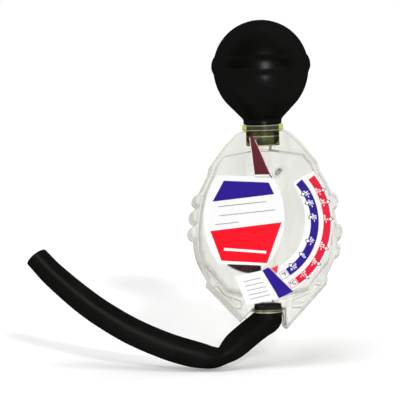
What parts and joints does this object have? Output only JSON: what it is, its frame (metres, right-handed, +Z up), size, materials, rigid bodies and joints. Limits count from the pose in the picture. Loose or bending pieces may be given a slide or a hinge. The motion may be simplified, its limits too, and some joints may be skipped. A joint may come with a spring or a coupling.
{
  "type": "antifreeze tester",
  "caption": "Hand-held dial-type antifreeze tester: clear flat body with a swinging float and scale, rubber squeeze bulb on top and rubber suction hose below.",
  "frame": {"origin": "on the flat back of the clear body, on the line through its neck and its hose socket", "axes": "+Z up towards the bulb, -Y out of the dial, +X to the right as the dial is read"},
  "size_m": [0.1615, 0.05, 0.1775],
  "materials": {
    "clear_plastic": "clear moulded polystyrene, polished, faintly yellow at the thick edges",
    "black_rubber": "matte black rubber with a soft sheen",
    "yellow_seal": "soft yellow-green vinyl, slightly see-through",
    "dark_red_plastic": "dark red moulded polystyrene",
    "bright_red": "bright red moulded polystyrene",
    "brass": "turned brass",
    "steel": "drawn steel wire",
    "white_label": "printed white vinyl label",
    "blue_label": "printed blue vinyl label",
    "maroon_film": "dark red printed film"
  },
  "bodies": {
    "housing": {"front_shell": "clear_plastic", "back_shell": "clear_plastic", "squeeze_bulb": "black_rubber", "bulb_collar": "yellow_seal", "hose_collar": "yellow_seal", "suction_hose": "black_rubber", "pivot_pin": "steel", "stop_pin": "steel", "title_label": "white_label", "scale_label": "white_label", "caption_strip": "blue_label", "info_label": "white_label", "level_mark": "maroon_film"},
    "float": {"swing_float": "dark_red_plastic", "pointer_tip": "bright_red", "balance_weight": "brass"}
  },
  "joints": [
    {"name": "float_swing", "type": "hinge", "parent": "housing", "child": "float", "pos_m": [-0.0045, -0.012, 0.0015], "axis": [0, -1, 0], "range_deg": [0, 128]}
  ]
}
